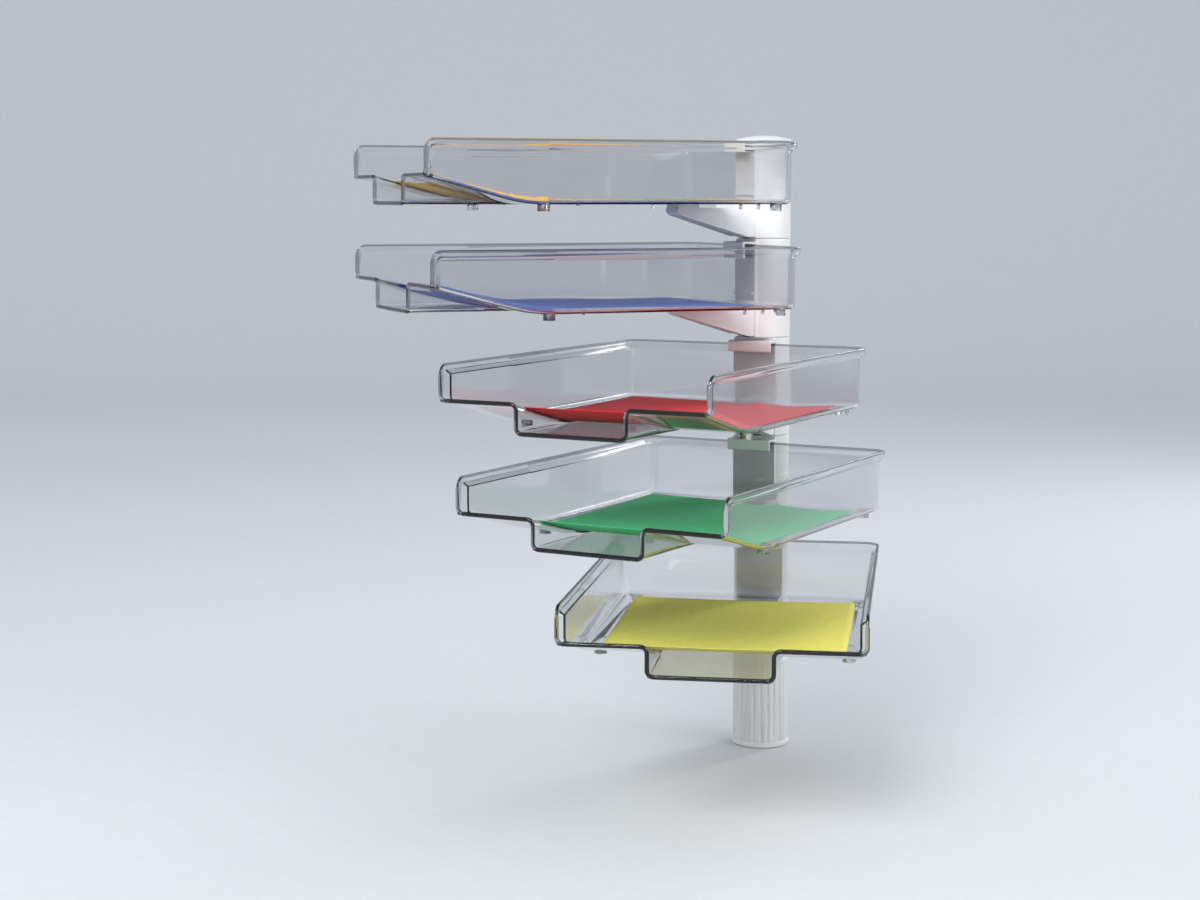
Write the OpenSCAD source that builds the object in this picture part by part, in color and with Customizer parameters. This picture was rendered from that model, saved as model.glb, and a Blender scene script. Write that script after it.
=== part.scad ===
// Swivel letter tray column: five clear letter trays, each hung on its own swivel unit.
// The origin is on the column's axis, at the desk. +Z is up. A tray at yaw 0 opens to -Y.

/* [Column] */
// outside diameter of the column's round units
column_d = 53; // [50:0.5:60]
// height from one swivel unit to the next
unit_pitch = 95.4; // [92:0.2:120]
// open seam between two stacked units
seam_gap = 0.3; // [0.2:0.1:0.5]
// chamfer on the rims of each round piece
seam_chamfer = 0.8; // [0.4:0.1:1.2]
// outside diameter of the steel post inside the column
post_d = 25; // [22:0.5:27]
// wall of the post
post_wall = 1.5; // [1:0.1:2.5]
// radial running clearance of each unit on the post
post_fit = 0.05; // [0.02:0.01:0.09]
// wall of the moulded column pieces
mould_wall = 2.5; // [2:0.1:3.5]

/* [Base] */
// height of the fluted sleeve
sleeve_h = 82; // [60:1:110]
// diameter of the fluted sleeve over its ribs
sleeve_d = 54; // [52:0.5:58]
// number of flutes round the sleeve
flute_count = 26; // [16:1:36]
// radius of one flute
flute_r = 2.3; // [1.5:0.1:2.8]
// depth of one flute
flute_depth = 1.2; // [0.6:0.1:1.5]
// diameter of the foot ring
foot_d = 56.4; // [56:0.2:64]
// height of the foot ring
foot_h = 5; // [3:0.5:9]
// height of the plain riser between the sleeve and the first unit
riser_h = 33.5; // [20:0.5:60]
// height of the raised collar at the riser's lower end
collar_h = 5; // [3:0.5:8]
// diameter of that collar
collar_d = 54.6; // [54:0.2:58]
// core diameter of the threaded hole for the desk stud
desk_hole_d = 8.5; // [6.8:0.1:10.2]
// depth of the threaded hole
desk_hole_l = 25; // [15:1:35]
// length of the steel plug that holds it
plug_l = 40; // [38:1:60]

/* [Cap] */
// how far the top unit stops short of a full pitch
top_unit_drop = 1.9; // [1.5:0.1:3]
// height of the cap's straight rim
cap_rim_h = 1.6; // [1:0.1:3]
// rise of the cap's dome above its rim
cap_dome_h = 3.8; // [2:0.1:8]
// thickness of the ring that holds the stack down
ring_t = 1.2; // [1:0.1:1.6]
// outside diameter of that ring
ring_d = 34; // [30:0.5:38]
// depth of the ring's groove in the post
ring_groove = 0.6; // [0.4:0.1:0.8]

/* [Swivel unit] */
// distance from the column's axis to the flat plate's face
plate_y = 18.5; // [17:0.5:20]
// width of the flat plate
plate_w = 44; // [38:1:46]
// height of the tray floor's underside above the unit's lower rim
floor_z = 33; // [30:0.5:38]
// reach of the arm under the tray
arm_reach = 96; // [70:1:140]
// width of the arm at the plate
arm_w = 42; // [34:1:44]
// width of the arm at its tip
arm_tip_w = 30; // [20:1:34]
// depth of the arm at its tip
arm_tip_h = 9; // [7:0.5:14]
// thickness of the arm's webs
arm_t = 2.6; // [2:0.1:4]
// height of the pads above the arm's web
pad_h = 3.5; // [2:0.5:6]
// length of the tip pad along the arm
pad_l = 20; // [12:1:30]
// drop of the hook inside the tray's rear wall
hook_drop = 8.5; // [6:0.5:12]
// thickness of the hook
hook_t = 2; // [1.5:0.1:2.5]
// clearance between the hook and the tray's rim
hook_clear = 0.4; // [0.2:0.1:1]

/* [Tray] */
// width over the flared rim
tray_w = 253; // [240:1:270]
// distance from the column's axis to the rear rim
tray_rear = 22.6; // [22:0.2:26]
// depth from the rear rim to the front edge
tray_l = 354; // [320:1:375]
// height from the floor's underside to the rim
tray_h = 57; // [50:1:60]
// wall and floor thickness
tray_t = 2.2; // [1.8:0.1:3]
// how far the rim flares out past the walls
flare_out = 5; // [3:0.5:7]
// height of the whole flared rim
flare_h = 10; // [8:0.5:12]
// height of its sloping part
flare_slope = 4; // [3:0.5:5]
// outside radius of the rear corners
corner_r = 10; // [8:0.5:16]
// outside radius of the floor's edges
edge_r = 5; // [4:0.5:7]
// radius of the bead on the front edges
bead_r = 1.9; // [1.5:0.1:2.3]
// radius of the finer bead on the rim
rim_bead_r = 1.35; // [1.2:0.05:1.6]
// steepness of the front ramp, in degrees
ramp_a = 15; // [10:1:18]
// length of the straight ramp's footprint in front of the bend's middle
ramp_l = 93; // [70:1:110]
// radius of the bend where the floor turns up
ramp_r = 150; // [80:5:200]
// width of the finger trough in the middle of the ramp
trough_w = 104.8; // [80:1:130]
// sideways seat of tray 1 on its unit
tray_1_shift = 5; // [-16:0.5:16]
// sideways seat of tray 2 on its unit
tray_2_shift = 9; // [-16:0.5:16]
// sideways seat of tray 3 on its unit
tray_3_shift = -7; // [-16:0.5:16]
// sideways seat of tray 4 on its unit
tray_4_shift = 15; // [-16:0.5:16]
// sideways seat of tray 5 on its unit
tray_5_shift = -11; // [-16:0.5:16]

/* [Tray feet] */
// outside diameter of a foot
foot_tube_d = 11; // [8:0.5:14]
// bore of a foot
foot_tube_bore = 7; // [5:0.5:10]
// height of a foot
foot_tube_h = 6; // [4:0.5:8]
// distance between the left and right feet
foot_span = 214; // [180:1:222]
// distance of the rear feet from the rear rim
foot_rear = 17; // [16:1:40]
// distance of the front feet from the rear rim
foot_front = 241; // [200:1:250]
// diameter of a locating pin
pin_d = 3; // [2:0.5:4]
// height of a locating pin
pin_h = 4.5; // [3:0.5:6]

/* [Sheets] */
// width of a standard sheet
sheet_w = 210; // [210:1:216]
// length of a standard sheet
sheet_l = 297; // [279:1:297]
// thickness of the coloured sheet
sheet_t = 0.5; // [0.2:0.1:2]
// distance from the tray's rear rim to the sheet's rear edge
sheet_back = 36; // [15:1:36]

/* [Rest yaw] */
// yaw of the top tray, turned from -Y towards -X
yaw_1 = 72.5; // [-180:0.5:180]
// yaw of the second tray
yaw_2 = 71.5; // [-180:0.5:180]
// yaw of the third tray
yaw_3 = 31; // [-180:0.5:180]
// yaw of the fourth tray
yaw_4 = 32; // [-180:0.5:180]
// yaw of the lowest tray
yaw_5 = 12; // [-180:0.5:180]

/* [Hidden] */
$fn = 96;
arc_steps = 8;
column_r = column_d / 2;
post_r = post_d / 2;
bore_r = post_r + post_fit;
unit_h = unit_pitch - seam_gap;
stack_z = sleeve_h + riser_h + seam_gap;
top_unit_h = unit_pitch - top_unit_drop;
cap_z = stack_z + 4 * unit_pitch + top_unit_h + seam_gap;
// how far a cutting shape runs past the face that it cuts
past = 1;
// how far joined shapes run into each other
lap = 1;
washer_t = 1.1;
washer_r = post_r + 7;
// clearance of a glide washer above and below
washer_play = 0.05;
// radial clearance round a glide washer
washer_room = 0.5;
hub_r = post_r + 8;
deck_t = 3;
ring_play = 0.15;
post_bottom = 1;
post_top = cap_z + cap_rim_h;
spigot_l = 12;
wall_u = tray_w / 2 - flare_out;
wall_back = tray_rear + flare_out;
tray_front = tray_rear + tray_l;
bend_v = tray_front - ramp_l;
bend_half = ramp_r * tan(ramp_a / 2);
bend_start = bend_v - bend_half;
bend_end = bend_v + bend_half * cos(ramp_a);
bend_end_z = ramp_r * (1 - cos(ramp_a));
front_v = tray_front - rim_bead_r;
slope_l = (front_v - bend_end) / cos(ramp_a);
front_z = bend_end_z + slope_l * sin(ramp_a);
flare_z = tray_h - flare_h;
// how much the ramp's walls stand proud of the rear walls, so that their faces don't coincide
wall_proud = 0.02;
// upright land below the rim's flare
rim_land = 0.4;
corner_v = tray_front - flare_h;
trough_u = trough_w / 2;
corner_u = wall_u - corner_r;
rear_corner_v = wall_back + corner_r;
yaws = [yaw_1, yaw_2, yaw_3, yaw_4, yaw_5];
shifts = [tray_1_shift, tray_2_shift, tray_3_shift, tray_4_shift, tray_5_shift];
sheet_colours = [
    [0.93, 0.63, 0.12],
    [0.13, 0.33, 0.68],
    [0.80, 0.16, 0.12],
    [0.10, 0.52, 0.27],
    [0.95, 0.80, 0.12]
];

// height of unit i's lower rim; unit 1 is the top one
function unit_z(i) = stack_z + (5 - i) * unit_pitch;

// points of an arc about c, from angle a0 to a1
function arc(c, r, a0, a1) = [
    for (k = [0:arc_steps])
        let (a = a0 + (a1 - a0) * k / arc_steps)
            c + r * [cos(a), sin(a)]
];

// point on the straight ramp, l along it and dz above its underside, as [v, z]
function slope_point(l, dz) =
    [bend_end, bend_end_z] + l * [cos(ramp_a), sin(ramp_a)] + dz * [-sin(ramp_a), cos(ramp_a)];

// line dz above the floor's underside, from the bend's start to l along the straight ramp
function ramp_line(dz, l) = concat(
    [
        for (k = [0:arc_steps])
            let (a = ramp_a * k / arc_steps)
                [bend_start, ramp_r] + (ramp_r - dz) * [sin(a), -cos(a)]
    ],
    [slope_point(l, dz)]
);

// the same points from the last to the first
function reversed(points) = [for (k = [len(points) - 1:-1:0]) points[k]];

// section of the flared rim as [height above the flare's start, distance out from the wall's face]
rim_section = [
    [0, 0],
    [rim_land, 0],
    [flare_slope, flare_out],
    [flare_h - rim_bead_r, flare_out],
    [flare_h - rim_bead_r, flare_out - tray_t],
    [flare_slope + tray_t * 0.4, flare_out - tray_t],
    [tray_t * 0.4, -tray_t],
    [0, -tray_t]
];

// section of a whole wall with the floor's edge, as [distance out, height], from the corner's centre
wall_section = concat(
    [[0, 0]],
    arc([corner_r - edge_r, edge_r], edge_r, -90, 0),
    [
        [corner_r, flare_z],
        [corner_r + flare_out, flare_z + flare_slope],
        [corner_r + flare_out, tray_h - rim_bead_r],
        [corner_r + flare_out - tray_t, tray_h - rim_bead_r],
        [corner_r + flare_out - tray_t, flare_z + flare_slope + tray_t * 0.4],
        [corner_r - tray_t, flare_z + tray_t * 0.4]
    ],
    arc([corner_r - edge_r, edge_r], edge_r - tray_t, 0, -90),
    [[0, tray_t]]
);

// a round moulding with chamfered rims, standing on z = 0
module rimmed_cylinder(r, h, c) {
    rotate_extrude()
        polygon([[0, 0], [r - c, 0], [r, c], [r, h - c], [r - c, h], [0, h]]);
}

// a ring-shaped space from r0 to r1
module ring_space(r0, r1, z0, z1) {
    translate([0, 0, z0])
        rotate_extrude()
            polygon([[r0, 0], [r1, 0], [r1, z1 - z0], [r0, z1 - z0]]);
}

// radial ribs between hub and shell
module ribs(count, r0, r1, t, z0, z1) {
    for (k = [0:count - 1])
        rotate([0, 0, 360 * (k + 0.5) / count])
            translate([r0, -t / 2, z0])
                cube([r1 - r0, t, z1 - z0]);
}

module base_sleeve() {
    shell_r = sleeve_d / 2 - flute_depth - mould_wall;
    color([0.88, 0.88, 0.87])
        difference() {
            union() {
                difference() {
                    cylinder(r = sleeve_d / 2, h = sleeve_h);
                    for (k = [0:flute_count - 1])
                        rotate([0, 0, 360 * k / flute_count])
                            translate([sleeve_d / 2 - flute_depth + flute_r, 0, foot_h])
                                cylinder(r = flute_r, h = sleeve_h, $fn = 24);
                    ring_space(hub_r, shell_r, -past, sleeve_h - deck_t);
                }
                difference() {
                    rimmed_cylinder(foot_d / 2, foot_h, seam_chamfer);
                    translate([0, 0, -past])
                        cylinder(r = shell_r, h = foot_h + 2 * past);
                }
                ribs(6, hub_r - lap, shell_r + lap / 2, mould_wall, lap, sleeve_h - lap);
            }
            translate([0, 0, -past])
                cylinder(r = post_r, h = sleeve_h + 2 * past);
        }
}

module base_plug() {
    color([0.6, 0.6, 0.62])
        difference() {
            union() {
                cylinder(r = post_r, h = post_bottom);
                cylinder(r = post_r - post_wall, h = plug_l);
            }
            translate([0, 0, -past])
                cylinder(d = desk_hole_d, h = desk_hole_l + past);
        }
}

module riser() {
    color([0.9, 0.9, 0.89])
        translate([0, 0, sleeve_h])
            difference() {
                union() {
                    rimmed_cylinder(column_r, riser_h, seam_chamfer);
                    rimmed_cylinder(collar_d / 2, collar_h, seam_chamfer);
                }
                ring_space(hub_r, column_r - mould_wall, -past, riser_h - deck_t);
                translate([0, 0, -past])
                    cylinder(r = post_r, h = riser_h + 2 * past);
            }
}

module post() {
    ring_z = cap_z - seam_gap + ring_play;
    color([0.7, 0.7, 0.72])
        difference() {
            translate([0, 0, post_bottom])
                cylinder(r = post_r, h = post_top - post_bottom);
            cylinder(r = post_r - post_wall, h = post_top + past);
            ring_space(post_r - ring_groove, post_r + 1, ring_z, ring_z + ring_t);
        }
}

module glide_washers() {
    color([0.2, 0.2, 0.21])
        for (i = [1:5])
            translate([0, 0, unit_z(i) - seam_gap + washer_play])
                ring_space(post_r, washer_r, 0, washer_t);
}

module retaining_ring() {
    ring_z = cap_z - seam_gap + ring_play;
    color([0.55, 0.55, 0.57])
        difference() {
            ring_space(post_r - ring_groove, ring_d / 2, ring_z, ring_z + ring_t);
            translate([-2, 0, ring_z - 1])
                cube([4, ring_d, ring_t + 2]);
        }
}

module cap() {
    dome_r = (column_r * column_r + cap_dome_h * cap_dome_h) / (2 * cap_dome_h);
    recess_h = ring_t + 0.4;
    color([0.91, 0.91, 0.9])
        difference() {
            union() {
                translate([0, 0, cap_z])
                    cylinder(r = column_r, h = cap_rim_h);
                intersection() {
                    translate([0, 0, cap_z + cap_rim_h + cap_dome_h - dome_r])
                        sphere(r = dome_r, $fn = 192);
                    translate([0, 0, cap_z + 0.5])
                        cylinder(r = column_r, h = cap_rim_h + cap_dome_h);
                }
                translate([0, 0, post_top - spigot_l])
                    cylinder(r = post_r - post_wall, h = spigot_l + 1);
            }
            ring_space(post_r, ring_d / 2 + 1.5, cap_z - 1, cap_z + recess_h);
            ring_space(post_r - post_wall, post_r, cap_z - spigot_l, post_top);
        }
}

// side web of the arm as [v, z] points
function arm_side() = [
    [0, 1.5],
    [plate_y + 8, 2],
    [arm_reach - 3, floor_z - pad_h - arm_tip_h + 2],
    [arm_reach, floor_z - pad_h - arm_tip_h + 5],
    [arm_reach, floor_z - pad_h],
    [0, floor_z - pad_h]
];

// extrudes a [v, z] outline across the tray from u0 to u1
module across(u0, u1) {
    translate([u1, 0, 0])
        rotate([90, 0, -90])
            linear_extrude(u1 - u0)
                children();
}

// plan of the arm, grown by g on each side
module arm_plan(g) {
    polygon([
        [-arm_w / 2 - g, -5],
        [arm_w / 2 + g, -5],
        [arm_w / 2 + g, -plate_y - 8],
        [arm_tip_w / 2 + g, -arm_reach - g],
        [-arm_tip_w / 2 - g, -arm_reach - g],
        [-arm_w / 2 - g, -plate_y - 8]
    ]);
}

// the arm under the tray: a web on top, two side webs, a middle rib, a nose and two pads
module arm() {
    web_z = floor_z - pad_h;
    rear_pad_v = wall_back + 14;
    rear_pad_l = 24;
    intersection() {
        linear_extrude(floor_z)
            arm_plan(0);
        union() {
            across(-arm_w, arm_w)
                polygon([[8, web_z - arm_t], [arm_reach, web_z - arm_t], [arm_reach, web_z], [8, web_z]]);
            intersection() {
                difference() {
                    linear_extrude(floor_z)
                        arm_plan(0);
                    translate([0, 0, -past])
                        linear_extrude(floor_z + 2 * past)
                            arm_plan(-arm_t);
                }
                across(-arm_w, arm_w)
                    polygon(arm_side());
            }
            across(-arm_t / 2, arm_t / 2)
                polygon(arm_side());
            translate([-arm_w, -arm_reach + 1, web_z - lap])
                cube([2 * arm_w, pad_l, pad_h + lap]);
            translate([-arm_w, -rear_pad_v, web_z - lap])
                cube([2 * arm_w, rear_pad_l, pad_h + lap]);
        }
    }
}

// hook over the tray's rear rim
module hook() {
    rim_top = floor_z + tray_h + hook_clear;
    lip_v = wall_back + tray_t + hook_clear;
    across(-plate_w / 2, plate_w / 2)
        polygon([
            [plate_y - 3, rim_top],
            [lip_v, rim_top],
            [lip_v, rim_top - hook_drop],
            [lip_v + hook_t * 0.7, rim_top - hook_drop],
            [lip_v + hook_t, rim_top - hook_drop + 1.5],
            [lip_v + hook_t, rim_top + hook_t - 1],
            [lip_v + hook_t - 1, rim_top + hook_t],
            [plate_y - 3, rim_top + hook_t]
        ]);
}

// everything on the tray's side of the plate's face, and d of the plate itself
module behind_plate(h, d) {
    translate([-column_d, -plate_y - column_d + d, -2 * past])
        cube([2 * column_d, column_d, h + 4 * past]);
}

// one swivel unit of height h, in its own frame with the tray side at -Y
module swivel_unit(h) {
    shell_r = column_r - mould_wall;
    ledge_z = floor_z + 9;
    ledge_out = 2.2;
    difference() {
        union() {
            difference() {
                union() {
                    rimmed_cylinder(column_r, h, seam_chamfer);
                    translate([-plate_w / 2, -plate_y, seam_chamfer])
                        cube([plate_w, plate_y, h - 2 * seam_chamfer]);
                }
                behind_plate(h, 0);
                difference() {
                    ring_space(hub_r, shell_r, -past, h - deck_t);
                    behind_plate(h, mould_wall);
                }
            }
            difference() {
                ribs(6, hub_r - lap / 2, shell_r + lap / 2, mould_wall * 0.7, deck_t, h - lap);
                behind_plate(h, lap / 2);
            }
            translate([-plate_w / 2 + 2, -plate_y - ledge_out, ledge_z])
                cube([plate_w - 4, ledge_out + lap, 2]);
            arm();
            hook();
        }
        translate([0, 0, -past])
            cylinder(r = bore_r, h = h + 2 * past);
        translate([0, 0, -past])
            cylinder(r = washer_r + washer_room, h = past + washer_t - seam_gap + 2 * washer_play);
    }
}

// sets a piece on unit i and turns it to that unit's yaw
module on_unit(i) {
    translate([0, 0, unit_z(i)])
        rotate([0, 0, -yaws[i - 1]])
            children();
}

module placed_unit(i) {
    color([0.9, 0.9, 0.89])
        on_unit(i)
            swivel_unit(i == 1 ? top_unit_h : unit_h);
}

// one side wall with its flared rim, on the +X side
module side_wall() {
    along = [for (p = rim_section) [p[1], p[0]]];
    translate([corner_u, -rear_corner_v, 0])
        rotate([90, 0, 0])
            linear_extrude(bend_start - rear_corner_v)
                polygon(wall_section);
    across(wall_u - tray_t - wall_proud, wall_u + wall_proud)
        polygon(concat(
            ramp_line(tray_t / 2, slope_l - flare_h - 2 * lap),
            [[corner_v, front_z], [corner_v, flare_z + lap], [bend_start, flare_z + lap]]
        ));
    across(wall_u - tray_t, wall_u)
        polygon([
            [corner_v - lap, front_z],
            [corner_v + lap / 2, front_z],
            [corner_v + lap / 2, flare_z],
            [corner_v - lap, flare_z]
        ]);
    translate([wall_u, -bend_start, flare_z])
        rotate([90, 0, 0])
            linear_extrude(corner_v - bend_start)
                polygon(along);
    translate([0, -corner_v, flare_z])
        rotate([180, -90, 0])
            rotate_extrude(angle = 90)
                translate([0, wall_u])
                    polygon(rim_section);
    translate([wall_u, -corner_v, front_z - lap])
        linear_extrude(flare_z - front_z + lap)
            rotate(-90)
                polygon(rim_section);
}

// a round bead of radius r and length l from p, turned by a
module bead(p, a, l, r) {
    translate(p)
        rotate(a)
            cylinder(r = r, h = l, $fn = 24);
}

// beads on the rim and the front edge of one side wall, centred on the edges' mid-thickness
module side_beads() {
    bead_u = wall_u + flare_out - tray_t / 2;
    step_u = trough_u - tray_t / 2;
    low_z = tray_t / 2;
    ramp_z = front_z + tray_t / 2;
    bead([bead_u, -rear_corner_v, tray_h - rim_bead_r], [90, 0, 0], corner_v - rear_corner_v, rim_bead_r);
    translate([0, -corner_v, flare_z])
        rotate([180, -90, 0])
            rotate_extrude(angle = 90)
                translate([flare_h - rim_bead_r, bead_u])
                    circle(r = rim_bead_r, $fn = 24);
    bead([bead_u, -front_v, ramp_z - bead_r], [0, 0, 0], flare_z - ramp_z + bead_r, bead_r);
    bead([bead_u, -front_v, ramp_z], [0, -90, 0], bead_u - step_u + bead_r, bead_r);
    bead([step_u, -front_v, low_z - bead_r], [0, 0, 0], ramp_z - low_z + bead_r, bead_r);
}

// rear corner and its bead, on the +X side
module rear_corner() {
    translate([corner_u, -rear_corner_v, 0]) {
        rotate_extrude(angle = 90)
            polygon(wall_section);
        translate([0, 0, tray_h - rim_bead_r])
            rotate_extrude(angle = 90)
                translate([corner_r + flare_out - tray_t / 2, 0])
                    circle(r = rim_bead_r, $fn = 24);
    }
}

// feet and pins under the floor, on the +X side
module side_feet() {
    for (v = [foot_rear, foot_front])
        translate([foot_span / 2, -tray_rear - v, -foot_tube_h])
            difference() {
                cylinder(d = foot_tube_d, h = foot_tube_h + tray_t / 2, $fn = 40);
                translate([0, 0, -past])
                    cylinder(d = foot_tube_bore, h = foot_tube_h + past, $fn = 32);
            }
    for (v = [foot_rear + 17, foot_rear + 35])
        translate([foot_span / 2, -tray_rear - v, -pin_h])
            cylinder(d = pin_d, h = pin_h + tray_t / 2, $fn = 20);
    translate([foot_span / 2, -tray_rear - foot_front + 32, -pin_h / 3])
        cylinder(d = pin_d, h = pin_h / 3 + tray_t / 2, $fn = 20);
}

// one side of the ramp's trough, on the +X side
module trough_side() {
    across(trough_u - tray_t, trough_u)
        polygon(concat(
            [[bend_start - 1, 0], [front_v, 0], [front_v, front_z]],
            reversed(ramp_line(tray_t / 2, slope_l - 0.1)),
            [[bend_start - 1, tray_t / 2]]
        ));
}

module mirrored() {
    children();
    mirror([1, 0, 0])
        children();
}

module tray() {
    translate([-corner_u, -bend_start, 0])
        cube([2 * corner_u, bend_start - rear_corner_v, tray_t]);
    difference() {
        across(-wall_u, wall_u)
            polygon(concat(ramp_line(0, slope_l), reversed(ramp_line(tray_t, slope_l))));
        translate([-trough_u + tray_t, -tray_front - past, -past])
            cube([trough_w - 2 * tray_t, tray_front + past - bend_start, tray_h]);
    }
    translate([-trough_u, -front_v, 0])
        cube([trough_w, front_v - bend_start + 1, tray_t]);
    translate([-corner_u, -rear_corner_v, 0])
        rotate([90, 0, 90])
            linear_extrude(2 * corner_u)
                polygon(wall_section);
    bead([-corner_u, -tray_rear - tray_t / 2, tray_h - rim_bead_r], [0, 90, 0], 2 * corner_u, rim_bead_r);
    bead([-trough_u + tray_t / 2, -front_v, tray_t / 2], [0, 90, 0], trough_w - tray_t, bead_r);
    mirrored() {
        side_wall();
        side_beads();
        rear_corner();
        side_feet();
        trough_side();
    }
}

module placed_tray(i) {
    color([0.34, 0.36, 0.39, 0.45])
        on_unit(i)
            translate([shifts[i - 1], 0, floor_z])
                tray();
}

// the sheet lies on the floor, turns up on the bend and bridges the trough
module sheet() {
    back_v = tray_rear + sheet_back;
    ramp_part = sheet_l - (bend_start - back_v) - (ramp_r - tray_t) * ramp_a * PI / 180;
    across(-sheet_w / 2, sheet_w / 2)
        polygon(concat(
            [[back_v, tray_t]],
            ramp_line(tray_t, ramp_part),
            reversed(ramp_line(tray_t + sheet_t, ramp_part)),
            [[back_v, tray_t + sheet_t]]
        ));
}

module placed_sheet(i) {
    color(sheet_colours[i - 1])
        on_unit(i)
            translate([shifts[i - 1], 0, floor_z])
                sheet();
}

base_sleeve();
base_plug();
riser();
post();
glide_washers();
retaining_ring();
cap();
placed_unit(1);  // swivel_unit_1
placed_unit(2);  // swivel_unit_2
placed_unit(3);  // swivel_unit_3
placed_unit(4);  // swivel_unit_4
placed_unit(5);  // swivel_unit_5
placed_tray(1);  // tray_1
placed_tray(2);  // tray_2
placed_tray(3);  // tray_3
placed_tray(4);  // tray_4
placed_tray(5);  // tray_5
placed_sheet(1);  // sheet_1
placed_sheet(2);  // sheet_2
placed_sheet(3);  // sheet_3
placed_sheet(4);  // sheet_4
placed_sheet(5);  // sheet_5
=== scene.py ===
import math

import bmesh
import bpy
from bpy.props import FloatProperty, FloatVectorProperty, IntProperty, PointerProperty
from bpy.types import Operator, Panel, PropertyGroup
from mathutils import Matrix, Vector, noise


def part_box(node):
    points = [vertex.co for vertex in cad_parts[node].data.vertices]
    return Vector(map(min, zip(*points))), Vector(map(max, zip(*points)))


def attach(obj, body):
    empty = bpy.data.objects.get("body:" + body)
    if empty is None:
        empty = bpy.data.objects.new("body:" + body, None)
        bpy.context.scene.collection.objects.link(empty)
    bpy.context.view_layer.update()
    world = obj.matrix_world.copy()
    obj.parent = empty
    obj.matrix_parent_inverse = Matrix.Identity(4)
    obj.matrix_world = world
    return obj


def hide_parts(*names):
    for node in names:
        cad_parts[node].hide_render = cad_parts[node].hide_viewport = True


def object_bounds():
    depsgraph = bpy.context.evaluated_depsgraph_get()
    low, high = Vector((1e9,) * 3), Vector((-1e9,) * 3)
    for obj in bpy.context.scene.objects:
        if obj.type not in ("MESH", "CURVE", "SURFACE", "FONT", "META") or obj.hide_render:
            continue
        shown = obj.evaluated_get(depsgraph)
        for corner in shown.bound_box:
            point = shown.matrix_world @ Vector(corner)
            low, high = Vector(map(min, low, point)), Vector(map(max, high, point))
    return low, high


bl_info = {
    "name": "Swivel Letter Tray Column",
    "version": (1, 0, 0),
    "blender": (4, 5, 0),
    "location": "View3D > Sidebar > Letter Trays",
    "description": "Finishes, loose sheets and stage of a swivel letter tray column",
    "category": "Object",
}

MM = 0.001
TRAYS = (1, 2, 3, 4, 5)
SHEET_COLOURS = ("orange", "blue", "red", "green", "yellow")

ACROSS = Vector((1, 0, 0))
ALONG = Vector((0, 1, 0))
UP = Vector((0, 0, 1))

# Points that are closer than this are one point.
CLOSE = 0.001 * MM

# How many pieces a tray's faces are cut into around each kind of corner.
TROUGH_CUTS = 12
WALL_CUTS = 8
BEND_CUTS = 14
FOOT_CUTS = 7
RAMP_CUTS = 14

# Edges of a tray that turn more sharply than this stay crisp.
CRISP_ANGLE = math.radians(35)

# Each lamp's setting, its width and height, and where it stands.
LAMPS = (
    ("key", (1.3, 1.3), (-1.3, -1.9, 2.0)),
    ("fill", (1.6, 1.6), (2.1, -1.4, 1.2)),
    ("strip", (0.35, 1.8), (1.5, 1.3, 1.5)),
)

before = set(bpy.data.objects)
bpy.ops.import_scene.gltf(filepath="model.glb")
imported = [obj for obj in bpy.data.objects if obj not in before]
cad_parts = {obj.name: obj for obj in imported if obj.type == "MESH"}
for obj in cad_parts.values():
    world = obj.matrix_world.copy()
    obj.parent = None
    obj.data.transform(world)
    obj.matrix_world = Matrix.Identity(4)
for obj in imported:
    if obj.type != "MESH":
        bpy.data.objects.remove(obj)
cad_low, cad_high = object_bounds()


# ---------------------------------------------------------------- shader maths


class Sock:
    """A shader socket that adds Math nodes when it is used in an expression."""

    def __init__(self, tree, link):
        self.tree = tree
        self.link = link

    def _math(self, operation, first, second):
        made = self.tree.nodes.new("ShaderNodeMath")
        made.operation = operation
        for place, value in enumerate((first, second)):
            if isinstance(value, Sock):
                self.tree.links.new(value.link, made.inputs[place])
            else:
                made.inputs[place].default_value = value
        return Sock(self.tree, made.outputs[0])

    def __add__(self, other):
        return self._math("ADD", self, other)

    def __radd__(self, other):
        return self._math("ADD", other, self)

    def __mul__(self, other):
        return self._math("MULTIPLY", self, other)

    def __rmul__(self, other):
        return self._math("MULTIPLY", other, self)


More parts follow.
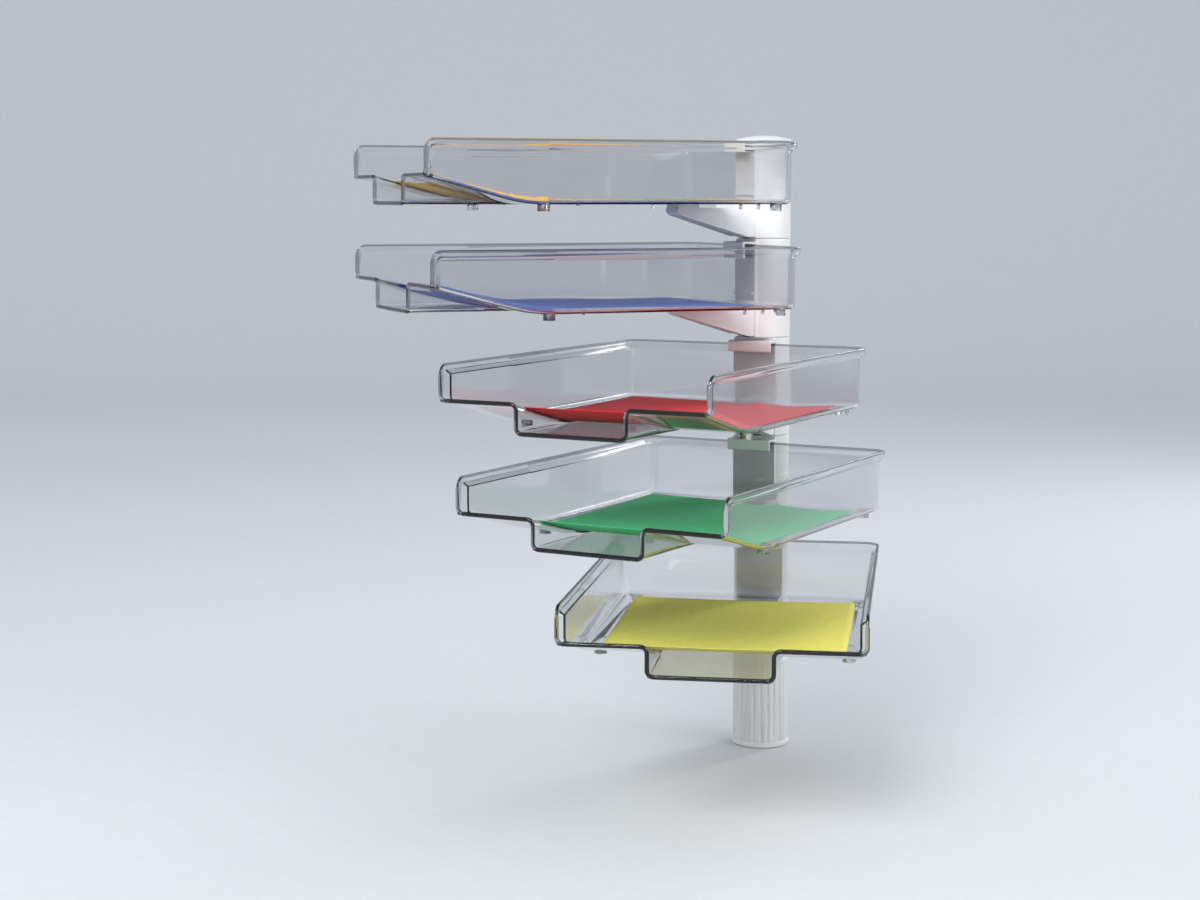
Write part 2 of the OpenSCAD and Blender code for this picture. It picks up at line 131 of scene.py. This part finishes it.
class Finish:
    """One material's node tree: a Principled shader and what feeds it."""

    def __init__(self, name):
        self.material = bpy.data.materials.new(name)
        self.material.use_nodes = True
        self.tree = self.material.node_tree
        self.tree.nodes.clear()
        self.shader = self.node("ShaderNodeBsdfPrincipled")
        self.output = self.node("ShaderNodeOutputMaterial", Surface=self.shader.outputs["BSDF"])
        self.place = self.node("ShaderNodeTexCoord").outputs["Object"]

    def node(self, kind, settings=None, **inputs):
        """Adds a node: its settings first, then the values or links of its sockets."""
        made = self.tree.nodes.new(kind)
        for key, value in (settings or {}).items():
            if key == "stops":
                for element, (place, tone) in zip(made.color_ramp.elements, value):
                    element.position = place
                    element.color = (*tone, 1.0)
            else:
                setattr(made, key, value)
        for key, value in inputs.items():
            self.feed(made.inputs[key.replace("_", " ")], value)
        return made

    def feed(self, socket, value):
        """Links a socket, or sets it to a plain value."""
        if isinstance(value, Sock):
            self.tree.links.new(value.link, socket)
        elif isinstance(value, bpy.types.NodeSocket):
            self.tree.links.new(value, socket)
        else:
            socket.default_value = value

    def set(self, **constants):
        """Sets constants straight on the shader's own sockets."""
        for key, value in constants.items():
            self.shader.inputs[key.replace("_", " ")].default_value = value

    def drive(self, socket, value):
        """Feeds one of the shader's sockets with what changes over the surface."""
        self.feed(self.shader.inputs[socket], value)

    def cloud(self, scale, detail=3.0, rough=0.5, stretch=(1.0, 1.0, 1.0)):
        """Soft noise from 0 to 1, scale in lumps per metre."""
        spread = self.node("ShaderNodeVectorMath", {"operation": "MULTIPLY"})
        self.feed(spread.inputs[0], self.place)
        spread.inputs[1].default_value = stretch
        made = self.node(
            "ShaderNodeTexNoise",
            Vector=spread.outputs["Vector"],
            Scale=scale,
            Detail=detail,
            Roughness=rough,
        )
        return Sock(self.tree, made.outputs["Fac"])

    def tone(self, factor, colour, low, high):
        """Base colour between two tones; low and high are a place on the factor and a brightness."""
        stops = [(place, brightened(colour, brightness)) for place, brightness in (low, high)]
        ramp = self.node("ShaderNodeValToRGB", {"stops": stops}, Fac=factor)
        self.drive("Base Color", ramp.outputs["Color"])

    def bump(self, height, strength, distance):
        """Small relief that only the light shows."""
        made = self.node("ShaderNodeBump", Height=height, Strength=strength, Distance=distance)
        self.drive("Normal", made.outputs["Normal"])

    def let_light_through(self, tint):
        """Lets lamps shine through thin clear walls, with a light tint."""
        path = self.node("ShaderNodeLightPath")
        clear = self.node("ShaderNodeBsdfTransparent", Color=(*tint, 1.0))
        mixed = self.node("ShaderNodeMixShader", Fac=path.outputs["Is Shadow Ray"])
        self.feed(mixed.inputs[1], self.shader.outputs["BSDF"])
        self.feed(mixed.inputs[2], clear.outputs["BSDF"])
        self.feed(self.output.inputs["Surface"], mixed.outputs["Shader"])


def brightened(colour, factor):
    """The colour made lighter or darker by a factor, kept in range."""
    return tuple(min(1.0, max(0.0, channel * factor)) for channel in colour[:3])


# ---------------------------------------------------------------- finishes


def moulded_white(colour):
    """Satin white moulding: faint mottling, a fine spark-eroded grain, slight scuffs."""
    finish = Finish("moulded_white")
    mottle = finish.cloud(22.0, 4.0)
    grain = finish.cloud(2600.0, 2.0)
    scuffs = finish.cloud(140.0, 5.0, 0.7, (1.0, 1.0, 0.25))
    finish.tone(mottle, colour, (0.3, 0.965), (0.7, 1.015))
    finish.drive("Roughness", 0.33 + scuffs * 0.16)
    finish.set(IOR=1.5, Specular_IOR_Level=0.45)
    finish.bump(grain * 0.7 + scuffs * 0.3, 0.12, 0.2 * MM)
    return finish.material


def smoky_clear(name, colour):
    """Clear smoky polystyrene: tinted body, handling haze and fine wipe marks."""
    finish = Finish(name)
    haze = finish.cloud(9.0, 4.0)
    wipes = finish.cloud(90.0, 4.0, 0.6, (1.0, 0.35, 1.0))
    finish.tone(haze, colour, (0.25, 0.97), (0.75, 1.02))
    finish.drive("Roughness", 0.02 + haze * wipes * 0.07)
    finish.set(IOR=1.5, Transmission_Weight=1.0, Specular_IOR_Level=0.5)
    finish.bump(wipes, 0.02, 0.2 * MM)
    # A wall has two surfaces, so each takes the square root of the tint.
    finish.let_light_through(tuple(math.sqrt(channel) for channel in colour))
    return finish.material


def coloured_paper(name, colour):
    """Dyed uncoated paper: cloudy formation, short fibres and a soft tooth."""
    finish = Finish(name)
    formation = finish.cloud(160.0, 4.0, 0.6)
    fibres = finish.cloud(1500.0, 3.0, 0.6, (1.0, 0.3, 1.0))
    finish.tone(formation * 0.6 + fibres * 0.4, colour, (0.35, 0.93), (0.65, 1.05))
    finish.drive("Roughness", 0.72 + fibres * 0.15)
    finish.set(IOR=1.45, Specular_IOR_Level=0.3, Sheen_Weight=0.05)
    finish.bump(fibres * 0.6 + formation * 0.4, 0.25, 0.15 * MM)
    return finish.material


def turned_steel(colour):
    """Bright drawn steel with fine lengthwise lines."""
    finish = Finish("turned_steel")
    lines = finish.cloud(900.0, 3.0, 0.6, (1.0, 1.0, 0.03))
    finish.tone(lines, colour, (0.3, 0.85), (0.7, 1.1))
    finish.drive("Roughness", 0.24 + lines * 0.2)
    finish.set(Metallic=1.0)
    finish.bump(lines, 0.15, 0.1 * MM)
    return finish.material


def glide_plastic(colour):
    """Dull self-lubricating plastic with a waxy mottle."""
    finish = Finish("glide_plastic")
    wax = finish.cloud(240.0, 4.0)
    finish.tone(wax, colour, (0.3, 0.85), (0.7, 1.2))
    finish.drive("Roughness", 0.5 + wax * 0.2)
    finish.bump(wax, 0.1, 0.2 * MM)
    return finish.material


def pale_floor(colour):
    """Plain pale paper sweep that reads as a bright ground behind the trays."""
    finish = Finish("pale_floor")
    tooth = finish.cloud(60.0, 3.0)
    finish.tone(tooth, colour, (0.3, 0.985), (0.7, 1.01))
    finish.set(Roughness=0.9, Specular_IOR_Level=0.1)
    return finish.material


def dress(node, material):
    """Gives a carried-over CAD node its finish."""
    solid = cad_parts[node]
    solid.data.materials.clear()
    solid.data.materials.append(material)


# ---------------------------------------------------------------- sizes and colours


def length_setting(name, description, default):
    """A length, in metres."""
    return FloatProperty(name=name, description=description, default=default, unit="LENGTH")


def angle_setting(name, description, default):
    """An angle, in radians."""
    return FloatProperty(name=name, description=description, default=default, subtype="ANGLE")


def colour_setting(name, description, default):
    """A colour with three channels."""
    return FloatVectorProperty(
        name=name, description=description, default=default, size=3, subtype="COLOR"
    )


class ColumnSettings(PropertyGroup):
    """Colours of the column's pieces."""

    white: colour_setting("White", "Colour of the moulded column pieces", (0.78, 0.78, 0.775))
    steel: colour_setting("Steel", "Colour of the post and its fittings", (0.6, 0.6, 0.62))
    glide: colour_setting("Glide", "Colour of the glide washers", (0.05, 0.05, 0.055))


class TraySettings(PropertyGroup):
    """Colour and section of the trays, and how each is turned and seated."""

    smoke: colour_setting("Smoke", "Tint of the clear smoky trays", (0.845, 0.85, 0.865))
    # Darker tint of the beads: mostly painted shade for the dark lines the thick beads show, partly
    # the longer path through thicker smoky plastic.
    bead_tint_and_painted_shade: colour_setting(
        "Edge smoke", "Tint of the thick beads on the front edge and the rim", (0.42, 0.43, 0.45)
    )
    bead: length_setting("Bead", "Radius of the front edge's bead", 1.9 * MM)
    height: length_setting("Height", "Height from the floor's underside to the rim", 57 * MM)
    wall: length_setting("Wall", "Wall and floor thickness", 2.2 * MM)
    half_width: length_setting("Half width", "Outside of a wall from the middle line", 121.5 * MM)
    flare: length_setting("Flare", "How far the front edge flares out", 5 * MM)
    flare_height: length_setting("Flare depth", "Depth of the whole flared edge", 10 * MM)
    flare_slope: length_setting("Flare slope", "Depth of the flare's sloping part", 4 * MM)
    front: length_setting("Front", "Distance from the column's axis to the front edge", 376.6 * MM)
    trough_half: length_setting("Trough half", "Half the width of the finger trough", 52.4 * MM)
    bend_start: length_setting(
        "Bend start", "Distance from the column's axis to the floor's bend", 263.85 * MM
    )
    bend_radius: length_setting("Bend radius", "Radius of the bend on the underside", 150 * MM)
    ramp: angle_setting("Ramp", "Steepness of the ramp", math.radians(15))
    corner: length_setting("Corner", "Radius of the ramp's and front edge's corners", 5.5 * MM)
    yaw: FloatVectorProperty(
        name="Yaw",
        description="Rest yaw of trays 1 to 5 in degrees, from -Y towards -X",
        size=5,
        default=(72.5, 71.5, 31.0, 32.0, 12.0),
    )
    seat: FloatVectorProperty(
        name="Seat",
        description="Sideways seat of trays 1 to 5 on their units",
        size=5,
        unit="LENGTH",
        default=(5 * MM, 9 * MM, -7 * MM, 15 * MM, -11 * MM),
    )


class SheetSettings(PropertyGroup):
    """Size, lie and colours of the loose sheets."""

    width: length_setting("Width", "Width of a sheet", 210 * MM)
    length: length_setting("Length", "Length of a sheet", 297 * MM)
    thickness: length_setting("Thickness", "Thickness of a sheet", 0.35 * MM)
    rear_edge: length_setting(
        "Rear edge", "Distance from the column's axis to the sheet", 58.6 * MM
    )
    lift: length_setting("Lift", "How far corners lift", 2.2 * MM)
    columns: IntProperty(
        name="Columns", description="Divisions across a sheet", default=42, min=8
    )
    rows: IntProperty(name="Rows", description="Divisions along a sheet", default=60, min=8)
    orange: colour_setting("Orange", "Colour of sheet 1", (0.88, 0.50, 0.05))
    blue: colour_setting("Blue", "Colour of sheet 2", (0.07, 0.17, 0.58))
    red: colour_setting("Red", "Colour of sheet 3", (0.66, 0.02, 0.03))
    green: colour_setting("Green", "Colour of sheet 4", (0.06, 0.56, 0.22))
    yellow: colour_setting("Yellow", "Colour of sheet 5", (0.80, 0.74, 0.13))


class StageSettings(PropertyGroup):
    """Floor, light and camera."""

    floor: colour_setting("Floor", "Colour of the floor", (0.66, 0.68, 0.71))
    floor_drop: length_setting("Floor drop", "Gap between the foot and the floor", 0.5 * MM)
    key: FloatProperty(name="Key", description="Main lamp in watts", default=46.0)
    fill: FloatProperty(name="Fill", description="Fill lamp in watts", default=17.0)
    strip: FloatProperty(name="Strip", description="Strip lamp behind in watts", default=12.0)
    sky: FloatProperty(name="Sky", description="Strength of the world's light", default=0.8)
    sky_colour: colour_setting("Sky colour", "Colour of the world's light", (0.93, 0.96, 1.0))
    camera: FloatVectorProperty(
        name="Camera",
        description="Where the camera stands",
        subtype="TRANSLATION",
        unit="LENGTH",
        default=(-0.2578, -1.9594, 0.5339),
    )
    tilt: angle_setting("Tilt", "How far the camera looks down", math.radians(4.23))
    pan: angle_setting("Pan", "How far the camera looks to the right", math.radians(2.89))
    lens: FloatProperty(name="Lens", description="Focal length in millimetres", default=60.64)
    shift: FloatProperty(name="Shift", description="Upright shift of the view", default=-0.0833)


# ---------------------------------------------------------------- column


class LETTERTRAY_OT_column(Operator):
    """Finish the base, riser, cap and swivel units in moulded white"""

    bl_idname = "lettertray.column"
    bl_label = "Finish Column"

    def execute(self, context):
        white = moulded_white(context.scene.lettertray_column.white)
        for node in ["base_sleeve", "riser", "cap"] + ["swivel_unit_%d" % i for i in TRAYS]:
            dress(node, white)
        return {"FINISHED"}


class LETTERTRAY_OT_fittings(Operator):
    """Finish the post, plug, retaining ring and glide washers"""

    bl_idname = "lettertray.fittings"
    bl_label = "Finish Fittings"

    def execute(self, context):
        settings = context.scene.lettertray_column
        steel = turned_steel(settings.steel)
        for node in ("post", "base_plug", "retaining_ring"):
            dress(node, steel)
        dress("glide_washers", glide_plastic(settings.glide))
        return {"FINISHED"}


# ---------------------------------------------------------------- trays


def spaced(low, high, steps):
    """Evenly spaced places from low to high, with both of them."""
    return [low + (high - low) * k / steps for k in range(steps + 1)]


def soften(x, z, corner_x, corner_z, radius, away_x, away_z):
    """Turns a square corner into a round one; its legs run away_x and away_z from the corner."""
    centre_x = corner_x + away_x * radius
    centre_z = corner_z + away_z * radius
    across = (centre_x - x) * away_x
    down = (centre_z - z) * away_z
    if radius <= 0 or across <= 0 or down <= 0:
        return x, z
    share = max(across, down) / math.hypot(across, down)
    return centre_x - away_x * across * share, centre_z - away_z * down * share


class TrayShape:
    """Heights and corner places of a tray, in its own frame: x across, -y to its front, z up."""

    def __init__(self, settings):
        self.settings = settings
        self.middle = settings.wall / 2
        self.step = settings.trough_half - self.middle
        self.side = settings.half_width - self.middle
        self.bend_end = settings.bend_start + settings.bend_radius * math.sin(settings.ramp)
        self.bend_rise = settings.bend_radius * (1 - math.cos(settings.ramp))
        self.flare_start = settings.front - settings.flare_height
        self.limit = settings.front + settings.bead

    def rise(self, out):
        """Height of the ramp's underside at a distance from the column's axis."""
        settings = self.settings
        if out <= settings.bend_start:
            return 0.0
        if out >= self.bend_end:
            return self.bend_rise + (out - self.bend_end) * math.tan(settings.ramp)
        turned = math.asin((out - settings.bend_start) / settings.bend_radius)
        return settings.bend_radius * (1 - math.cos(turned))

    def edge(self, out):
        """Distance of the outer corner from the tray's middle line, flaring at the front."""
        settings = self.settings
        share = min(1.0, max(0.0, (out - self.flare_start) / settings.flare_slope))
        return self.side + share * settings.flare

    def moved(self, point):
        """Where a point goes when every square corner of the ramp's section is made round."""
        settings = self.settings
        out = -point.y
        if out <= settings.bend_start:
            return point
        side = 1.0 if point.x >= 0 else -1.0
        base = self.rise(out) + self.middle / math.cos(settings.ramp)
        small = max(0.0, min(settings.corner, (base - self.middle) / 2))
        x, z = soften(abs(point.x), point.z, self.step, self.middle, small, -1, 1)
        x, z = soften(x, z, self.step, base, small, 1, -1)
        x, z = soften(x, z, self.edge(out), base, settings.corner, -1, 1)
        return Vector((side * x, point.y, z))

    def on_painted_shade_bead(self, point):
        """True on the beads of the front edge and the rim, whose darker tint is painted shade along
        their length.
        """
        settings = self.settings
        at_front = -point.y > settings.front - 2 * settings.bead
        return at_front or point.z > settings.height - 1.5 * settings.bead


def split(made, place, normal, near, far):
    """Splits the faces that lie between two distances from the column's axis along a plane."""
    slack = 0.01 * MM
    faces = []
    for face in made.faces:
        outs = [-vert.co.y for vert in face.verts]
        if min(outs) > near - slack and max(outs) < far + slack:
            faces.append(face)
    edges = {edge for face in faces for edge in face.edges}
    verts = {vert for face in faces for vert in face.verts}
    parts = list(verts) + list(edges) + faces
    bmesh.ops.bisect_plane(made, geom=parts, plane_co=place, plane_no=normal, dist=CLOSE)


def split_corners(made, shape, corner, steps, near):
    """Splits both sides lengthwise, around corners at one distance from the middle line."""
    radius = shape.settings.corner
    for x in spaced(corner - radius, corner + radius, steps):
        for side in (-1, 1):
            split(made, side * x * ACROSS, ACROSS, near, shape.limit)


def split_tray(made, shape):
    """Cuts the ramp and the front edge finely enough to be made round."""
    settings = shape.settings
    start = settings.bend_start
    end = shape.bend_end
    for out in (start, end, shape.flare_start):
        split(made, -out * ALONG, ALONG, -shape.limit, shape.limit)
    split_corners(made, shape, shape.step, TROUGH_CUTS, start)
    split_corners(made, shape, shape.side, WALL_CUTS, start)
    split_corners(made, shape, shape.side + settings.flare, WALL_CUTS, shape.flare_start)
    top = shape.bend_rise + settings.wall + settings.corner
    for height in spaced(shape.middle, top, BEND_CUTS):
        split(made, height * UP, UP, start, end)
    for height in spaced(shape.middle, shape.middle + settings.corner, FOOT_CUTS):
        split(made, height * UP, UP, end, shape.limit)
    slope = Vector((0, math.sin(settings.ramp), math.cos(settings.ramp)))
    for height in spaced(-settings.corner, settings.corner + settings.wall, RAMP_CUTS):
        split(made, Vector((0, -end, shape.bend_rise + height)), slope, end, shape.limit)


def rounded_tray(settings, source, place):
    """A tray in its own frame, with round corners along the ramp, the trough and the front edge."""
    shape = TrayShape(settings)
    made = bmesh.new()
    made.from_mesh(source)
    made.transform(place.inverted())
    bmesh.ops.remove_doubles(made, verts=made.verts, dist=CLOSE)
    split_tray(made, shape)
    for vert in made.verts:
        vert.co = shape.moved(vert.co)
    for face in made.faces:
        # Bead faces take the second material, whose darker tint is painted shade.
        face.material_index = int(shape.on_painted_shade_bead(face.calc_center_median()))
    mesh = bpy.data.meshes.new("letter_tray")
    made.to_mesh(mesh)
    made.free()
    mesh.shade_smooth()
    mesh.set_sharp_from_angle(angle=CRISP_ANGLE)
    return mesh


def keep_flats_true(piece):
    """Weights the normals by area, so large flat faces show no bend beside round corners."""
    flats = piece.modifiers.new("true_flat_faces", "WEIGHTED_NORMAL")
    flats.mode = "FACE_AREA"
    flats.weight = 100
    flats.keep_sharp = True


class LETTERTRAY_OT_trays(Operator):
    """Build the five trays in clear smoky plastic, with round corners at the ramp and front edge"""

    bl_idname = "lettertray.trays"
    bl_label = "Build Trays"

    def execute(self, context):
        settings = context.scene.lettertray_trays
        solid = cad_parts["tray_1"]
        here = solid.matrix_world.inverted() @ self.place(settings, 1)
        shape = rounded_tray(settings, solid.data, here)
        shape.materials.append(smoky_clear("smoky_clear", settings.smoke))
        # The beads' darker material is mostly painted shade, partly the longer path through thicker
        # smoky plastic.
        shape.materials.append(smoky_clear("smoky_edge", settings.bead_tint_and_painted_shade))
        for i in TRAYS:
            mesh = shape.copy()
            mesh.transform(self.place(settings, i))
            piece = bpy.data.objects.new("letter_tray_%d" % i, mesh)
            context.scene.collection.objects.link(piece)
            keep_flats_true(piece)
            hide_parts("tray_%d" % i)
            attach(piece, "carrier_%d" % i)
        return {"FINISHED"}

    def place(self, settings, i):
        """Where tray i sits: turned to its yaw, seated sideways on its unit's arm."""
        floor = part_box("sheet_%d" % i)[0].z - settings.wall
        turn = Matrix.Rotation(-math.radians(settings.yaw[i - 1]), 4, "Z")
        return turn @ Matrix.Translation((settings.seat[i - 1], 0, floor))


# ---------------------------------------------------------------- sheets


def lie(settings, trays, s):
    """Where a sheet lies, s along it from its rear edge: distance from the axis, height, slope."""
    radius = trays.bend_radius - trays.wall
    flat = trays.bend_start - settings.rear_edge
    bend = radius * trays.ramp
    if s <= flat:
        return settings.rear_edge + s, 0.0, 0.0
    angle = min(s - flat, bend) / radius
    past = max(0.0, s - flat - bend)
    out = trays.bend_start + radius * math.sin(angle) + past * math.cos(angle)
    rise = radius * (1 - math.cos(angle)) + past * math.sin(angle)
    return out, rise, angle


def waviness(settings, across, along, seed):
    """Gentle lift of a loose sheet: a long ripple and four corners that each curl differently."""
    ripple = 1 + noise.noise(Vector((across * 1.3, along * 1.1, seed * 3.7)))
    curl = 0.0
    for k, (side, end) in enumerate(((-1, 0), (1, 0), (-1, 1), (1, 1))):
        reach = math.hypot((across - side) / 1.1, (along - end) / 0.35)
        strength = 0.5 + 0.5 * noise.noise(Vector((k * 5.1, seed * 2.3, 1.7)))
        curl += strength * max(0.0, 1 - reach) ** 2
    return settings.lift * (0.0875 * ripple + curl)


def sheet_side(made, settings, trays, i, raised):
    """Rows of points on one side of sheet i, raised above where its underside lies."""
    turn = Matrix.Rotation(-math.radians(trays.yaw[i - 1]), 4, "Z")
    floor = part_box("sheet_%d" % i)[0].z
    grid = []
    for row in range(settings.rows + 1):
        along = row / settings.rows
        out, rise, slope = lie(settings, trays, along * settings.length)
        line = []
        for column in range(settings.columns + 1):
            across = 2 * column / settings.columns - 1
            up = waviness(settings, across, along, i) + raised
            x = trays.seat[i - 1] + across * settings.width / 2
            y = up * math.sin(slope) - out
            z = floor + rise + up * math.cos(slope)
            line.append(made.verts.new(turn @ Vector((x, y, z))))
        grid.append(line)
    return grid


def sheet_mesh(settings, trays, i):
    """Sheet i as a thin closed mesh on its tray's floor and ramp."""
    made = bmesh.new()
    low = sheet_side(made, settings, trays, i, 0.0)
    high = sheet_side(made, settings, trays, i, settings.thickness)
    rows = settings.rows
    columns = settings.columns
    for r in range(rows):
        for c in range(columns):
            made.faces.new((high[r][c], high[r][c + 1], high[r + 1][c + 1], high[r + 1][c]))
            made.faces.new((low[r][c], low[r + 1][c], low[r + 1][c + 1], low[r][c + 1]))
    rim = [(0, c) for c in range(columns)]
    rim += [(r, columns) for r in range(rows)]
    rim += [(rows, c) for c in range(columns, 0, -1)]
    rim += [(r, 0) for r in range(rows, 0, -1)]
    for (r0, c0), (r1, c1) in zip(rim, rim[1:] + rim[:1]):
        made.faces.new((low[r0][c0], low[r1][c1], high[r1][c1], high[r0][c0]))
    bmesh.ops.recalc_face_normals(made, faces=made.faces)
    mesh = bpy.data.meshes.new("loose_sheet")
    made.to_mesh(mesh)
    made.free()
    mesh.shade_smooth()
    return mesh


class LETTERTRAY_OT_sheets(Operator):
    """Lay one coloured sheet in each tray"""

    bl_idname = "lettertray.sheets"
    bl_label = "Lay Sheets"

    def execute(self, context):
        settings = context.scene.lettertray_sheets
        trays = context.scene.lettertray_trays
        for i, name in zip(TRAYS, SHEET_COLOURS):
            piece = bpy.data.objects.new("%s_sheet" % name, sheet_mesh(settings, trays, i))
            context.scene.collection.objects.link(piece)
            paper = coloured_paper("%s_paper" % name, getattr(settings, name))
            piece.data.materials.append(paper)
            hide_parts("sheet_%d" % i)
            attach(piece, "carrier_%d" % i)
        return {"FINISHED"}


# ---------------------------------------------------------------- stage


def sweep_mesh(half_width, near, far, radius, height):
    """A floor that curves up into a wall behind the object."""
    steps = 24
    line = [(near, 0.0), (far - radius, 0.0)]
    for k in range(1, steps + 1):
        angle = math.radians(90) * k / steps
        line.append((far - radius + radius * math.sin(angle), radius * (1 - math.cos(angle))))
    line.append((far, height))
    made = bmesh.new()
    left = [made.verts.new((-half_width, y, z)) for y, z in line]
    right = [made.verts.new((half_width, y, z)) for y, z in line]
    for k in range(len(line) - 1):
        made.faces.new((left[k], left[k + 1], right[k + 1], right[k]))
    mesh = bpy.data.meshes.new("paper_sweep")
    made.to_mesh(mesh)
    made.free()
    mesh.shade_smooth()
    return mesh


def softbox(name, power, size, place, target):
    """A soft rectangular lamp that shines from a place towards a target."""
    lamp = bpy.data.lights.new(name, "AREA")
    lamp.shape = "RECTANGLE"
    lamp.size, lamp.size_y = size
    lamp.energy = power
    made = bpy.data.objects.new(name, lamp)
    made.location = place
    made.rotation_euler = (target - Vector(place)).to_track_quat("-Z", "Y").to_euler()
    bpy.context.scene.collection.objects.link(made)


class LETTERTRAY_OT_stage(Operator):
    """Set the floor, the lamps, the world and the camera"""

    bl_idname = "lettertray.stage"
    bl_label = "Set Stage"

    def execute(self, context):
        settings = context.scene.lettertray_stage
        self.lay_floor(context, settings)
        for name, size, place in LAMPS:
            power = getattr(settings, name)
            softbox("%s_lamp" % name, power, size, place, (cad_low + cad_high) / 2)
        world = bpy.data.worlds.new("soft_daylight")
        context.scene.world = world
        world.use_nodes = True
        sky = world.node_tree.nodes["Background"]
        sky.inputs["Color"].default_value = (*settings.sky_colour, 1.0)
        sky.inputs["Strength"].default_value = settings.sky
        self.set_camera(context, settings)
        context.scene.view_settings.view_transform = "Standard"
        return {"FINISHED"}

    def lay_floor(self, context, settings):
        """A wide paper sweep, just under the part's foot."""
        sweep = sweep_mesh(half_width=9.0, near=-8.0, far=6.0, radius=2.5, height=9.0)
        floor = bpy.data.objects.new("paper_sweep", sweep)
        floor.location.z = -settings.floor_drop
        context.scene.collection.objects.link(floor)
        floor.data.materials.append(pale_floor(settings.floor))

    def set_camera(self, context, settings):
        """A long lens a little above the trays, aimed slightly down and to the right."""
        data = bpy.data.cameras.new("camera")
        data.sensor_width = 36.0
        data.lens = settings.lens
        data.shift_y = settings.shift
        data.clip_end = 100.0
        made = bpy.data.objects.new("camera", data)
        made.location = settings.camera
        made.rotation_euler = (math.radians(90) - settings.tilt, 0.0, -settings.pan)
        context.scene.collection.objects.link(made)
        context.scene.camera = made


# ---------------------------------------------------------------- add-on


STEPS = (
    LETTERTRAY_OT_column,
    LETTERTRAY_OT_fittings,
    LETTERTRAY_OT_trays,
    LETTERTRAY_OT_sheets,
    LETTERTRAY_OT_stage,
)


class LETTERTRAY_PT_sidebar(Panel):
    """Lists the steps that finish the letter trays"""

    bl_idname = "LETTERTRAY_PT_sidebar"
    bl_label = "Letter Trays"
    bl_space_type = "VIEW_3D"
    bl_region_type = "UI"
    bl_category = "Letter Trays"

    def draw(self, context):
        for step in STEPS:
            self.layout.operator(step.bl_idname)


SETTINGS = {
    "lettertray_column": ColumnSettings,
    "lettertray_trays": TraySettings,
    "lettertray_sheets": SheetSettings,
    "lettertray_stage": StageSettings,
}
CLASSES = (*SETTINGS.values(), *STEPS, LETTERTRAY_PT_sidebar)


def register():
    """Adds the settings, the steps and the sidebar to Blender."""
    for made in CLASSES:
        bpy.utils.register_class(made)
    for name, group in SETTINGS.items():
        setattr(bpy.types.Scene, name, PointerProperty(type=group))


def unregister():
    """Takes them away again."""
    for name in SETTINGS:
        delattr(bpy.types.Scene, name)
    for made in reversed(CLASSES):
        bpy.utils.unregister_class(made)


def main():
    """Runs every step."""
    register()
    bpy.ops.lettertray.column()
    bpy.ops.lettertray.fittings()
    bpy.ops.lettertray.trays()
    bpy.ops.lettertray.sheets()
    bpy.ops.lettertray.stage()


if __name__ == "__main__":
    main()
